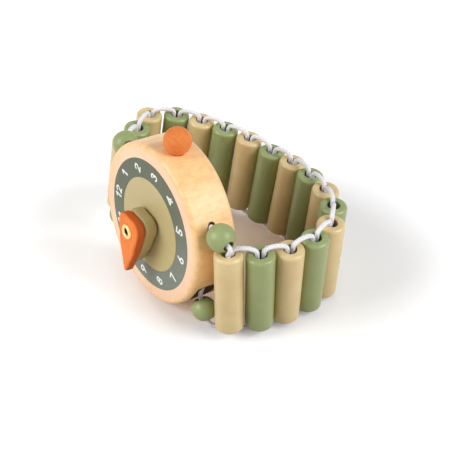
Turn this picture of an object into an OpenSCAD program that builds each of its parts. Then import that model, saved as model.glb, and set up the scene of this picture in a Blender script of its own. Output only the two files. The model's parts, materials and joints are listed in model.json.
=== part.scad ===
// Wooden toy watch: a round case on its rim, two turning hands on a hollow rivet,
// and a wrist strap of tube beads on one round elastic cord.

/* [Case] */
// Diameter of the wooden case
case_d = 47; // [44:0.5:52]
// Thickness of the case from back to face
case_t = 13.2; // [12:0.2:16]
// Radius of the rounded rim edges
case_edge = 1.3; // [1:0.1:3]
// Sideways roll of the standing watch, the 6 side down, in degrees
case_roll = 7.5; // [4:0.5:10]
// Backward lean of the face, in degrees
case_lean = 4; // [0:0.5:6]

/* [Cord holes] */
// Diameter of the two cord holes through the case
cord_hole_d = 3; // [2.8:0.1:3.4]
// Wood between the rim and the axis of a cord hole
cord_hole_inset = 2.6; // [2.4:0.1:3.4]
// Shift of the cord holes towards the face, from the middle of the thickness
cord_hole_front = 0.8; // [0:0.1:1.5]

/* [Dial] */
// Outer diameter of the printed numeral ring
ring_d = 38.4; // [36:0.2:40]
// Width of the numeral ring, around the printed centre
ring_w = 5.5; // [4.8:0.1:6.2]
// Height of a numeral
numeral_h = 3.1; // [2.4:0.1:3.6]
// Thickness of a printed layer
print_t = 0.1; // [0.05:0.01:0.15]

/* [Hands] */
// Radius of the round corners of a hand's head
hand_corner_r = 3.2; // [2.6:0.1:3.8]
// Half the width of a hand's head
hand_half_w = 5.1; // [4.6:0.1:5.8]
// Radius of the bulge between a hand's head and its tip
hand_belly_r = 3.8; // [3.5:0.1:4.2]
// Radius of a hand's tip
hand_tip_r = 0.9; // [0.8:0.1:1.4]
// Rounding of a hand's edges
hand_edge = 0.4; // [0.2:0.05:0.4]
// Length of the hour hand from the rivet to its tip
hour_len = 12.6; // [11:0.2:13.4]
// Thickness of the hour hand
hour_t = 3.7; // [3:0.1:4.4]
// Length of the minute hand from the rivet to its tip
minute_len = 14; // [12.4:0.2:15]
// Thickness of the minute hand
minute_t = 2.8; // [2.2:0.1:3.6]

/* [Rivet] */
// Outer diameter of the rivet's tube
rivet_d = 3.4; // [3:0.1:3.6]
// Diameter of the open bore of the rivet
rivet_bore = 2; // [1.6:0.1:2.4]
// Diameter of the rolled flanges
flange_d = 4.4; // [4.2:0.1:5]
// Diameter of the washer under the hands
washer_d = 7; // [6:0.2:8]
// Thickness of the washer
washer_t = 0.4; // [0.3:0.05:0.8]

/* [Balls] */
// Diameter of the crown ball and the two upper cord balls
ball_d = 7.8; // [7.2:0.1:8.4]
// Diameter of the two lower cord balls
low_ball_d = 7; // [6.6:0.1:7.8]
// Bore of a cord ball
ball_bore = 3; // [2.8:0.1:3.2]
// Diameter of the peg under the crown
peg_d = 2.5; // [2:0.1:3]
// Depth of the peg in the case
peg_depth = 6; // [4:0.5:8]

/* [Beads] */
// Diameter of a tube bead
bead_d = 8; // [7.4:0.1:8.6]
// Length of a tube bead
bead_len = 26; // [23:0.5:28]
// Bore of a tube bead
bead_bore = 3.6; // [3.4:0.1:3.9]
// Rounding of a bead's outer edges
bead_edge = 1; // [0.6:0.1:1.4]
// Gap between two neighbouring beads
bead_gap = 0.45; // [0.45:0.05:0.8]

/* [Cord] */
// Diameter of the elastic cord
cord_d = 1.3; // [1.1:0.05:1.4]
// Rise of the cord's upper stretches above the beads
arch_top = 1.7; // [1.5:0.1:2.4]
// Drop of the cord's lower stretches under the beads
arch_low = 1; // [0.9:0.05:1.2]

/* [Hidden] */
$fn = 64;

// Running and seating gaps
shaft_gap = 0.05;
face_gap = 0.05;
hand_gap = 0.1;
ball_gap = 0.2;
rim_gap = 0.4;
strand_gap = 0.2;
cut = 0.5;

// Case
case_r = case_d / 2;
case_back = -case_t / 2;
face_z = case_t / 2;
recess_gap = 0.3;
case_rise = 0.45;

// Dial
centre_d = ring_d - 2 * ring_w;

// Place of a hand's bulge along its length
belly_share = 0.35;

// Hand stack, as heights over the middle of the case
ink_z = face_z + print_t;
washer_top = ink_z + washer_t;
hour_z = washer_top + face_gap;
minute_z = hour_z + hour_t + hand_gap;
flange_z = minute_z + minute_t + face_gap;
hour_past_nine = 2.5;
minute_past_nine = -2;

// Rivet
flange_w = (flange_d - rivet_bore) / 2;
rivet_bed = case_back + flange_w / 2 + recess_gap;

// Balls, each as an angle on the dial from 6 o'clock, a share of the thickness, and how far
// its bore turns from the hole's mouth towards the bead
ball_r = ball_d / 2;
low_ball_r = low_ball_d / 2;
ball_rs = [ball_r, low_ball_r, ball_r, low_ball_r];
crown_seat = 0.7;
crown_front = 0.5;
crown_y = case_r + ball_r - crown_seat;
peg_head_share = 0.6;
NEAR_TOP = 0;
NEAR_LOW = 1;
FAR_TOP = 2;
FAR_LOW = 3;
ball_angles = [26, -33, 163, 213];
ball_front_shares = [0.09, 0.1, -0.06, 0.08];
bore_turn_shares = [0.485, 0.35, 0.15, 0.3];

// First and last bead against the case
near_back = 1;
far_bead_gap = 4.7;
far_back = 4.2;

// Posture of the strap: the heading of each step between beads, seen from above, the
// lean of each bead to the +X and +Y sides, and how much of each end's lift it takes
near_heading_angles = [64, 81, 93, 111, 138, 159, 175, 183];
far_heading_angles = [132, 130, 74, 43, 34, 33, 27, 18];
lean_x_angles = [2, 5, 7.5, 7.5, 6.5, 6, 6.5, 7, 7.5, 8, 8.5, 9, 10, 10.5, 10, 11, 11.5];
lean_y_angles = [-2, -3.5, -3.5, -2.5, -1.2, 0.3, 1.8, 3, 4, 4, 3.5, 3, 2.5, 2.5, 2, 1.5, 1.5];
BEADS = len(lean_x_angles);
near_lift_shares = [1, 0.63, 0.28, 0.28, 0, 0, 0, 0, 0, 0, 0, 0, 0, 0, 0, 0, 0];
far_lift_shares = [0, 0, 0, 0, 0, 0, 0, 0.03, 0.1, 0.13, 0.4, 0.59, 0.7, 0.81, 0.93, 0.92, 1];

// Beads and cord
NEAR_BEADS = len(near_heading_angles) + 1;
bead_r = bead_d / 2;
bead_lip = 0.35;
pitch = bead_d + bead_gap;
cord_r = cord_d / 2;
strand_off = bead_bore / 2 - cord_r - strand_gap;
cord_proud = arch_low + cord_r;
CORD_SIDES = 8;
ARCH_STEPS = 8;
CURVE_STEPS = 6;
top_fullness_share = 0.75;
low_fullness_share = 0.45;
slope_share = 0.2;
rim_share = 0.8;
rim_clear = 0.35;
handle_share = 0.4;

// Route of the cord between the case's holes and the four balls, chosen by hand
leave_shares = [0.559, 0.6, 0.909, 0.37];
inward = [-0.037, 0.5, 0.545, -0.04];
mouth_pull = [1.132, 4.7, 3.75, 0.97];
bore_in_shares = [1.084, 0.66, 0.514, 0.81];
bore_pull = [1.275, 2.8, 1.447, 1.86];
exit_pull = [2.988, 0.897];
strand_pull = [0.301, 0.897];
own_strand_angles = [-105.57, 180];

// Small vector tools
function unit(v) = v / norm(v);
function flat(v, a) = v - a * (v * a);
function mix(a, b, t) = a + (b - a) * t;
function total(v, i = 0) = i == len(v) ? [0, 0] : v[i] + total(v, i + 1);
function bearing(v) = atan2(v.y, v.x);
function spin2(v, a) = [v.x * cos(a) - v.y * sin(a), v.x * sin(a) + v.y * cos(a)];

// The case's own axes in the standing pose: towards 6, towards 3, and out of the face
function lean_back(v) = [v.x, v.y * cos(case_lean) + v.z * sin(case_lean),
                         v.z * cos(case_lean) - v.y * sin(case_lean)];
to_six = lean_back([cos(case_roll), 0, -sin(case_roll)]);
to_three = lean_back([sin(case_roll), 0, cos(case_roll)]);
out_of_face = lean_back([0, -1, 0]);

// Height of the middle of the case: its rim hangs just above the surface
case_mid = [0, 0, (case_r - case_edge) * sqrt(1 - pow(out_of_face.z, 2)) +
                  (case_t / 2 - case_edge) * abs(out_of_face.z) + case_edge + case_rise];
function at_case(v) = case_mid + to_six * v.x + to_three * v.y + out_of_face * v.z;

// Cord holes and balls in the case's axes
hole_x = case_r - cord_hole_inset;
mouth_y = sqrt(pow(case_r, 2) - pow(hole_x, 2));
function ball_at(k) = let (r = case_r + ball_rs[k] + rim_gap, a = ball_angles[k])
    at_case([r * cos(a), r * sin(a), ball_front_shares[k] * case_t]);
function hole_at(side, y) = at_case([side * hole_x, y, cord_hole_front]);

// Direction of a bead's own axis
function bead_axis(i) = unit([tan(lean_x_angles[i]), tan(lean_y_angles[i]), 1]);

// How far the line through w with direction a moves along u to lie at distance d from the origin
function side_step(w, u, a, d) =
    let (p = flat(w, a), q = flat(u, a), b = p * q)
    (sqrt(b * b - q * q * (p * p - d * d)) - b) / (q * q);

// Middle of a bead on a line whose upper end lies under the ball k
function under_ball(k, line, a) =
    let (off = ball_at(k) - line,
         over = max(norm(flat(off, a)) - (bead_r - bead_edge), 0),
         drop = sqrt(max(pow(ball_rs[k] + ball_gap + bead_edge, 2) - over * over, 0)) - bead_edge)
    line + a * (off * a - drop - bead_len / 2);

// First bead: beside the near low ball and under the near top ball
near_start = at_case([0, 0, -near_back]);
near_out = side_step(near_start - ball_at(NEAR_LOW), to_six, bead_axis(0), low_ball_r + bead_r + ball_gap);
near_first = under_ball(NEAR_TOP, near_start + to_six * near_out, bead_axis(0));

// Last bead: off the rim, under the far top ball
far_start = at_case([-(case_r + far_bead_gap + bead_r), 0, -far_back]);
far_first = under_ball(FAR_TOP, far_start, bead_axis(BEADS - 1));

// Height of a bead's middle: the lower stretches of the cord carry the strap
function rest_z(i) = (bead_len / 2 + cord_proud) * bead_axis(i).z;
near_lift = near_first.z - rest_z(0);
far_lift = far_first.z - rest_z(BEADS - 1);
bead_z = [for (i = [0:BEADS - 1])
    rest_z(i) + near_lift * near_lift_shares[i] + far_lift * far_lift_shares[i]];

// Steps of the two half straps in the plan, and the turn that makes them meet
function plan_step(i, j, heading) =
    sqrt(pow(pitch, 2) - pow(bead_z[j] - bead_z[i], 2)) * [cos(heading), sin(heading)];
near_steps = [for (k = [0:NEAR_BEADS - 2]) plan_step(k, k + 1, near_heading_angles[k])];
far_steps = [for (k = [0:BEADS - NEAR_BEADS - 1])
    plan_step(BEADS - 1 - k, BEADS - 2 - k, far_heading_angles[k])];
near_reach = total(near_steps);
far_reach = total(far_steps);
ends_apart = [far_first.x - near_first.x, far_first.y - near_first.y];
near_corner = acos((pow(norm(near_reach), 2) + pow(norm(ends_apart), 2) - pow(norm(far_reach), 2))
                   / (2 * norm(near_reach) * norm(ends_apart)));
near_turn = bearing(ends_apart) - near_corner - bearing(near_reach);
meeting = spin2(near_reach, near_turn) - ends_apart;
far_turn = bearing(meeting) - bearing(far_reach);

// Middle of each bead
function walk(steps, turn, n, i = 0) =
    i >= n ? [0, 0] : spin2(steps[i], turn) + walk(steps, turn, n, i + 1);
function plan_of(i) = i < NEAR_BEADS
    ? [near_first.x, near_first.y] + walk(near_steps, near_turn, i)
    : [far_first.x, far_first.y] + walk(far_steps, far_turn, BEADS - 1 - i);
bead_mid = [for (i = [0:BEADS - 1]) [plan_of(i).x, plan_of(i).y, bead_z[i]]];

// Places on a bead: the middle of an end, and a strand's place in the bore
function end_of(i, up) = bead_mid[i] + bead_axis(i) * (up * bead_len / 2);
function towards(i, j) = unit(flat(bead_mid[j] - bead_mid[i], bead_axis(i)));
function strand_end(i, j, up) = end_of(i, up) + towards(i, j) * strand_off;

// One loop of cord over two neighbouring beads: a strand in each, joined by two arches
function arch(p, q, rise, fullness, away) = [for (k = [0:ARCH_STEPS])
    let (a = 180 * k / ARCH_STEPS, high = rise + abs((q - p) * away) * slope_share)
    mix(p, q, (1 - cos(a)) / 2) + away * (high * pow(max(sin(a), 0), fullness))];
function link_away(i) = unit(bead_axis(i) + bead_axis(i + 1));
function link_route(i) = concat(
    arch(strand_end(i, i + 1, 1), strand_end(i + 1, i, 1), arch_top, top_fullness_share, link_away(i)),
    arch(strand_end(i + 1, i, -1), strand_end(i, i + 1, -1), arch_low, low_fullness_share, -link_away(i)));

// A smooth stretch between two anchors, each a point and a direction, and where the bend is
// tight the pulls before and after it
function curve(a, b) =
    let (h = norm(b[0] - a[0]) * handle_share, after = a[3], before = b[2],
         c = a[0] + a[1] * (is_undef(after) ? h : after), d = b[0] - b[1] * (is_undef(before) ? h : before))
    [for (k = [0:CURVE_STEPS - 1]) let (t = k / CURVE_STEPS, s = 1 - t)
        a[0] * pow(s, 3) + c * (3 * s * s * t) + d * (3 * s * t * t) + b[0] * pow(t, 3)];

// The end loops: up a cord hole, out through a ball, down a bead and back by the other ball
function bore_dir(side, k, bead, next, up) = unit(mix(
    unit(ball_at(k) - hole_at(side, up * mouth_y)),
    unit(own_strand(bead, next, up) + bead_axis(bead) * (up * cord_proud) - ball_at(k)),
    bore_turn_shares[k]));
function mouth_at(side, k, up) =
    at_case([side * (hole_x - inward[k]), up * leave_shares[k] * mouth_y, cord_hole_front]);
function own_strand(bead, next, up) = let (t = towards(bead, next), a = own_strand_angles[bead == 0 ? 0 : 1])
    end_of(bead, up) + (t * cos(a) + cross(bead_axis(bead), t) * sin(a)) * strand_off;
function rim_anchor(bead, exit, up, flow) =
    let (out = unit(flat(exit - end_of(bead, up), bead_axis(bead))))
    [end_of(bead, up) + out * (bead_r * rim_share)
     + bead_axis(bead) * (up * (cord_r + rim_clear)), out * flow];
function over_rim(bead, exit) = norm(flat(exit - bead_mid[bead], bead_axis(bead))) > bead_r * rim_share;
function end_route(side, bead, next, top, low) =
    let (end = bead == 0 ? 0 : 1,
         dt = bore_dir(side, top, bead, next, 1), dl = bore_dir(side, low, bead, next, -1),
         a = bead_axis(bead), exit_t = ball_at(top) + dt * ball_r, exit_l = ball_at(low) + dl * low_ball_r,
         anchors = concat(
             [[mouth_at(side, top, 1), to_three, undef, mouth_pull[top]],
              [ball_at(top) - dt * (ball_r * bore_in_shares[top]), dt, bore_pull[top]],
              [exit_t, dt, undef, exit_pull[end]]],
             over_rim(bead, exit_t) ? [rim_anchor(bead, exit_t, 1, -1)] : [],
             [[own_strand(bead, next, 1), -a, strand_pull[end]], [own_strand(bead, next, -1), -a]],
             over_rim(bead, exit_l) ? [rim_anchor(bead, exit_l, -1, 1)] : [],
             [[exit_l, -dl],
              [ball_at(low) - dl * (low_ball_r * bore_in_shares[low]), -dl, undef, bore_pull[low]],
              [mouth_at(side, low, -1), to_three, mouth_pull[low]]]))
    [for (k = [0:len(anchors) - 1]) let (b = anchors[(k + 1) % len(anchors)])
        each (norm(cross(anchors[k][1], b[1])) < 0.001
              && norm(cross(anchors[k][1], unit(b[0] - anchors[k][0]))) < 0.001
              ? [anchors[k][0]] : curve(anchors[k], b))];
near_route = end_route(1, 0, 1, NEAR_TOP, NEAR_LOW);
far_route = end_route(-1, BEADS - 1, BEADS - 2, FAR_TOP, FAR_LOW);

// The object's box in the plan, so that its origin lies under the middle of the box
function bead_half(i, k) = let (a = abs(bead_axis(i)[k])) a * (bead_len / 2 - bead_edge)
    + (bead_r - bead_edge) * sqrt(1 - a * a) + bead_edge;
function front_of(c, r, z) = let (u = [-to_six.y, -to_three.y, -out_of_face.y])
    c.x * u.x + c.y * u.y + r * norm([u.x, u.y]) + z * u.z;
function hand_tip(reach, past_nine) = let (a = 270 - past_nine)
    [cos(a), sin(a)] * (reach - hand_tip_r);
low_x = min([for (i = [0:BEADS - 1]) bead_mid[i].x - bead_half(i, 0)]);
high_x = max([for (i = [0:BEADS - 1]) bead_mid[i].x + bead_half(i, 0)]);
high_y = max([for (i = [0:BEADS - 1]) bead_mid[i].y + bead_half(i, 1)]);
low_y = -max(
    front_of(hand_tip(minute_len, minute_past_nine), hand_tip_r - hand_edge, flange_z - face_gap - hand_edge)
        + hand_edge,
    front_of([0, 0], (flange_d - flange_w) / 2, flange_z) + flange_w / 2);
lowest = min([for (i = [0:BEADS - 2]) each [for (p = link_route(i)) p.z]]) - cord_r;
stand = [-(low_x + high_x) / 2, -(low_y + high_y) / 2, -lowest];

// Shapes used by several pieces
module on_case() {
    translate(case_mid) rotate([-case_lean, 0, 0]) rotate([0, case_roll, 0]) rotate([90, 0, 0])
        children();
}

module along(p, dir) {
    translate(p) rotate([0, acos(dir.z), bearing(dir)]) children();
}

module rounded_disc(r, t, e) {
    rotate_extrude() {
        square([r - e, t]);
        translate([0, e]) square([r, t - 2 * e]);
        for (z = [e, t - e]) translate([r - e, z]) circle(e);
    }
}

module cord(route) {
    n = len(route);
    plane = unit(total3([for (i = [0:n - 1]) cross(route[i] - route[0], route[(i + 1) % n] - route[0])]));
    rings = [for (i = [0:n - 1])
        let (before = unit(route[i] - route[(i + n - 1) % n]), after = unit(route[(i + 1) % n] - route[i]),
             t = unit(before + after), u = unit(cross(t, plane)), v = cross(t, u))
        each [for (k = [0:CORD_SIDES - 1]) let (a = 360 * k / CORD_SIDES)
            route[i] + (u * cos(a) + v * sin(a)) * cord_r]];
    faces = [for (i = [0:n - 1]) each [for (k = [0:CORD_SIDES - 1])
        let (j = (i + 1) % n, m = (k + 1) % CORD_SIDES)
        each [[i * CORD_SIDES + k, j * CORD_SIDES + k, i * CORD_SIDES + m],
              [i * CORD_SIDES + m, j * CORD_SIDES + k, j * CORD_SIDES + m]]]];
    polyhedron(points = rings, faces = faces);
}
function total3(v, i = 0) = i == len(v) ? [0, 0, 0] : v[i] + total3(v, i + 1);

// Case: a thick disc with two cord holes, the rivet's bore and the crown's seat
module case() {
    color("burlywood") on_case() difference() {
        translate([0, 0, case_back]) rounded_disc(case_r, case_t, case_edge);
        for (side = [-1, 1])
            translate([side * hole_x, 0, cord_hole_front]) rotate([90, 0, 0])
                cylinder(d = cord_hole_d, h = case_d, center = true);
        translate([0, 0, case_back - cut]) cylinder(d = rivet_d + 2 * shaft_gap, h = case_t + 2 * cut);
        translate([0, 0, case_back - cut])
            cylinder(d = flange_d + 2 * recess_gap, h = rivet_bed - case_back + cut);
        translate([0, crown_y, crown_front]) sphere(ball_r + shaft_gap);
        translate([0, case_r - peg_depth, crown_front]) rotate([-90, 0, 0])
            cylinder(d = peg_d + 2 * shaft_gap, h = peg_depth);
    }
}

// Dial: two printed layers, and the numerals on the outer one
module dial_ring() {
    color("slategray") on_case() translate([0, 0, face_z]) difference() {
        cylinder(d = ring_d, h = print_t);
        translate([0, 0, -cut]) cylinder(d = centre_d, h = print_t + 2 * cut);
    }
}

module dial_centre() {
    color("darkkhaki") on_case() translate([0, 0, face_z]) difference() {
        cylinder(d = centre_d - 2 * shaft_gap, h = print_t);
        translate([0, 0, -cut]) cylinder(d = rivet_d + 2 * shaft_gap, h = print_t + 2 * cut);
    }
}

// Digits on a cell one unit high: strokes, arcs and rings of one width
stroke_share = 0.17;
digit_share = 0.62;
bowl_r = (digit_share - stroke_share) / 2;

module stroke(a, b) {
    d = b - a;
    translate(a) rotate(bearing(d)) translate([0, -stroke_share / 2]) square([norm(d), stroke_share]);
    for (p = [a, b]) translate(p) circle(stroke_share / 2);
}

module bow(c, r, from, to) {
    reach = 2 * (r + stroke_share);
    mid = (from + to) / 2;
    translate(c) intersection() {
        difference() {
            circle(r + stroke_share / 2);
            circle(r - stroke_share / 2);
        }
        polygon(concat([[0, 0]], [for (k = [0:4]) let (a = mix(from, to, k / 4))
            [cos(a), sin(a)] * reach]));
    }
    for (a = [from, to]) translate(c + [cos(a), sin(a)] * r) circle(stroke_share / 2);
}

module ring(c, r) {
    translate(c) difference() {
        circle(r + stroke_share / 2);
        circle(r - stroke_share / 2);
    }
}

top_y = 0.5 - stroke_share / 2;
low_share = 0.225;
eye_r = (2 * top_y - 2 * low_share) / 2;

module digit(n) {
    if (n == 0) {
        bow([0, top_y - bowl_r], bowl_r, 0, 180);
        bow([0, bowl_r - top_y], bowl_r, 180, 360);
        for (s = [-1, 1]) stroke([s * bowl_r, bowl_r - top_y], [s * bowl_r, top_y - bowl_r]);
    } else if (n == 1) {
        stroke([stroke_share / 2, -top_y], [stroke_share / 2, top_y]);
        stroke([stroke_share / 2, top_y], [-stroke_share, top_y - stroke_share]);
    } else if (n == 2) {
        bow([0, top_y - bowl_r], bowl_r, -35, 170);
        stroke([bowl_r * cos(35), top_y - bowl_r - bowl_r * sin(35)], [-bowl_r, -top_y]);
        stroke([-bowl_r, -top_y], [bowl_r, -top_y]);
    } else if (n == 3) {
        bow([0, top_y - eye_r], eye_r, -90, 155);
        bow([0, low_share - top_y], low_share, -155, 90);
    } else if (n == 4) {
        stroke([stroke_share, -top_y], [stroke_share, top_y]);
        stroke([stroke_share, top_y], [-bowl_r - stroke_share / 4, -stroke_share]);
        stroke([-bowl_r - stroke_share / 4, -stroke_share], [bowl_r + stroke_share / 2, -stroke_share]);
    } else if (n == 5) {
        stroke([bowl_r, top_y], [-bowl_r, top_y]);
        stroke([-bowl_r, top_y], [-bowl_r, low_share / 2]);
        bow([0, low_share - top_y], low_share, -150, 145);
    } else if (n == 6 || n == 9) {
        rotate(n == 9 ? 180 : 0) {
            ring([0, low_share - top_y], low_share);
            stroke([-low_share * cos(25), low_share - top_y + low_share * sin(25)],
                   [stroke_share / 2, top_y]);
        }
    } else if (n == 7) {
        stroke([-bowl_r, top_y], [bowl_r, top_y]);
        stroke([bowl_r, top_y], [-stroke_share / 2, -top_y]);
    } else {
        ring([0, top_y - eye_r], eye_r);
        ring([0, low_share - top_y], low_share);
    }
}

module numerals() {
    pair_step = digit_share + stroke_share / 3;
    mid_r = (ring_d + centre_d) / 4;
    color("white") on_case() translate([0, 0, ink_z]) for (hour = [1:12]) {
        a = 180 - 30 * hour;
        translate([cos(a), sin(a)] * mid_r) rotate(90) linear_extrude(print_t) scale(numeral_h)
            if (hour < 10) digit(hour);
            else {
                translate([-pair_step / 2, 0]) digit(1);
                translate([pair_step / 2, 0]) digit(hour - 10);
            }
    }
}

// Hands: teardrops with a broad head, turning on the rivet
module teardrop(reach, t) {
    side = hand_half_w - hand_corner_r;
    head = hand_half_w - hand_corner_r / 8 - hand_corner_r;
    difference() {
        hull() {
            for (s = [-1, 1]) translate([-head, s * side, 0])
                rounded_disc(hand_corner_r, t, hand_edge, $fn = 32);
            translate([reach * belly_share, 0, 0]) rounded_disc(hand_belly_r, t, hand_edge, $fn = 48);
            translate([reach - hand_tip_r, 0, 0]) rounded_disc(hand_tip_r, t, hand_edge, $fn = 32);
        }
        translate([0, 0, -cut]) cylinder(d = rivet_d + 2 * shaft_gap, h = t + 2 * cut);
    }
}

module hour_hand() {
    color("tan") on_case() translate([0, 0, hour_z]) rotate(270 - hour_past_nine)
        teardrop(hour_len, hour_t);
}

module minute_hand() {
    color("chocolate") on_case() translate([0, 0, minute_z]) rotate(270 - minute_past_nine)
        teardrop(minute_len, minute_t);
}

// Washer that keeps the hands off the print
module washer() {
    color("goldenrod") on_case() translate([0, 0, ink_z]) difference() {
        cylinder(d = washer_d, h = washer_t);
        translate([0, 0, -cut]) cylinder(d = rivet_d + 2 * shaft_gap, h = washer_t + 2 * cut);
    }
}

// Hollow rivet with a rolled flange at each end
module rivet() {
    color("gold") on_case() rotate_extrude() {
        translate([rivet_bore / 2, rivet_bed]) square([(rivet_d - rivet_bore) / 2, flange_z - rivet_bed]);
        intersection() {
            translate([rivet_bore / 2 + flange_w / 2, flange_z]) circle(flange_w / 2);
            translate([0, flange_z]) square([flange_d, flange_w]);
        }
        intersection() {
            translate([rivet_bore / 2 + flange_w / 2, rivet_bed]) circle(flange_w / 2);
            translate([0, rivet_bed - flange_w]) square([flange_d, flange_w]);
        }
    }
}

// Crown: a ball on a glued peg
module crown() {
    color("coral") on_case() difference() {
        translate([0, crown_y, crown_front]) sphere(ball_r);
        translate([0, case_r - peg_depth, crown_front]) rotate([-90, 0, 0])
            cylinder(d = peg_d + 2 * shaft_gap, h = crown_y - case_r + peg_depth + peg_top() + shaft_gap);
    }
}
function peg_top() = ball_r * (2 * peg_head_share - 1);

module crown_peg() {
    color("peru") on_case() translate([0, case_r - peg_depth + shaft_gap, crown_front]) rotate([-90, 0, 0])
        cylinder(d = peg_d, h = crown_y - case_r + peg_depth + peg_top() - shaft_gap);
}

// Ball threaded on the cord between the case and a bead
module cord_ball(k, side, bead, next) {
    color("yellowgreen") along(ball_at(k), bore_dir(side, k, bead, next, sin(ball_angles[k]) > 0 ? 1 : -1))
        difference() {
            sphere(ball_rs[k]);
            cylinder(d = ball_bore, h = ball_d + cut, center = true);
        }
}

// Tube bead with rounded ends and an eased bore
module bead(i) {
    w = bead_r - bead_bore / 2;
    color(i % 2 == 0 ? "burlywood" : "olivedrab") along(bead_mid[i], bead_axis(i)) rotate_extrude()
        translate([bead_bore / 2, -bead_len / 2]) {
            translate([bead_lip, 0]) square([w - bead_lip - bead_edge, bead_len]);
            translate([0, bead_lip]) square([w - bead_edge, bead_len - 2 * bead_lip]);
            translate([bead_lip, bead_edge]) square([w - bead_lip, bead_len - 2 * bead_edge]);
            for (z = [bead_lip, bead_len - bead_lip]) translate([bead_lip, z]) circle(bead_lip);
            for (z = [bead_edge, bead_len - bead_edge]) translate([w - bead_edge, z]) circle(bead_edge);
        }
}

module cord_loop(i) {
    color("whitesmoke") cord(i == 0 ? near_route : i == BEADS ? far_route : link_route(i - 1));
}

// Names of the pieces: beads count from the case's 6 side, cord loops from 0 at the case
function two(n) = n < 10 ? str("0", n) : str(n);
bead_names = [for (i = [1:BEADS]) str("bead_", two(i))];
cord_names = [for (i = [0:BEADS]) str("cord_", two(i))];

translate(stand) {
    case();
    dial_ring();
    dial_centre();
    numerals();
    washer();
    hour_hand();
    minute_hand();
    rivet();
    crown();
    crown_peg();
    cord_ball(NEAR_TOP, 1, 0, 1);  // near_top_ball
    cord_ball(NEAR_LOW, 1, 0, 1);  // near_low_ball
    cord_ball(FAR_TOP, -1, BEADS - 1, BEADS - 2);  // far_top_ball
    cord_ball(FAR_LOW, -1, BEADS - 1, BEADS - 2);  // far_low_ball
    for (i = [0:BEADS - 1]) bead(i);
    for (i = [0:BEADS]) cord_loop(i);
}
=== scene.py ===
"""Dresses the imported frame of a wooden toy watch: case, dial, hands, crown, beads and cord."""
from __future__ import annotations

import json
import logging
import math
from dataclasses import dataclass, field, replace
from enum import Enum
from typing import Optional, Sequence, Union

import bpy
import numpy as np
from mathutils import Matrix, Vector

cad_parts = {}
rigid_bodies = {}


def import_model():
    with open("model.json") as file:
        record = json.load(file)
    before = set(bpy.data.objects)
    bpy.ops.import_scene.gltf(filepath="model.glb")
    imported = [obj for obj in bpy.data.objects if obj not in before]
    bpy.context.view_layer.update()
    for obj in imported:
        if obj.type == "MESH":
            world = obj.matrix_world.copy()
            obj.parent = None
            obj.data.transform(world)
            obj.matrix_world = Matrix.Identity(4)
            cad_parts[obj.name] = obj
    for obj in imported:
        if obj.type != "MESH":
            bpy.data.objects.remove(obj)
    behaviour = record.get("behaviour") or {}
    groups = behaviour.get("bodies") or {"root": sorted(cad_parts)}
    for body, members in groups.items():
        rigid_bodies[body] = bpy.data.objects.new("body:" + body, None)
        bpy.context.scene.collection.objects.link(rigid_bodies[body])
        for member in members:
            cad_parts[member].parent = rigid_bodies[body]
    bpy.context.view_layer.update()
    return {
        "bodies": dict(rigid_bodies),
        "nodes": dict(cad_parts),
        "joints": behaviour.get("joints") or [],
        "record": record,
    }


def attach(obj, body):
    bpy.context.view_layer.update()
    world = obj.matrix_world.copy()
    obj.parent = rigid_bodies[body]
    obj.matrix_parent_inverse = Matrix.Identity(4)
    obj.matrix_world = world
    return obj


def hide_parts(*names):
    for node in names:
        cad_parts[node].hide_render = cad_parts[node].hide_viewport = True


LOG = logging.getLogger("toy_watch")
Colour = tuple[float, float, float]
Outline = Sequence[tuple[float, float]]
Span = tuple[float, float]

MM = 0.001
PER_METRE = 1000.0
GOLDEN_ANGLE = math.pi * (3 - math.sqrt(5))
X_AXIS, Y_AXIS, Z_AXIS = (1, 0, 0), (0, 1, 0), (0, 0, 1)
SHIFT_WAY = (1.0, 0.7, 1.3)
PLAIT = "plait"

# Sizes that several pieces share, in millimetres and in the case's own axes
CASE_R = 23.5
FACE_Z = 6.6
RIVET_HOLE_D = 3.5
HOLE_X = 20.9
HOLE_FRONT = 0.8
CROWN_R = 3.9
CROWN_Y = 26.7
CROWN_FRONT = 0.5

# How many beads the strap has, and the one at its back, where its two chains of links meet
BEADS = 17
BACK_BEAD = 9


def srgb(red: int, green: int, blue: int) -> Colour:
    """Turns an 8-bit screen colour into a linear one.

    Args:
        red: The red channel, from 0 to 255.
        green: The green channel.
        blue: The blue channel.

    Returns:
        The linear colour.
    """
    def linear(value: int) -> float:
        """Returns one linear channel."""
        share = value / 255
        return share / 12.92 if share <= 0.04045 else ((share + 0.055) / 1.055) ** 2.4
    return linear(red), linear(green), linear(blue)


def toned(colour: Colour, share: float) -> Colour:
    """Returns a colour made darker or lighter by a share, up to white."""
    return tuple(min(1.0, share * part) for part in colour)


# Shading

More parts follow.
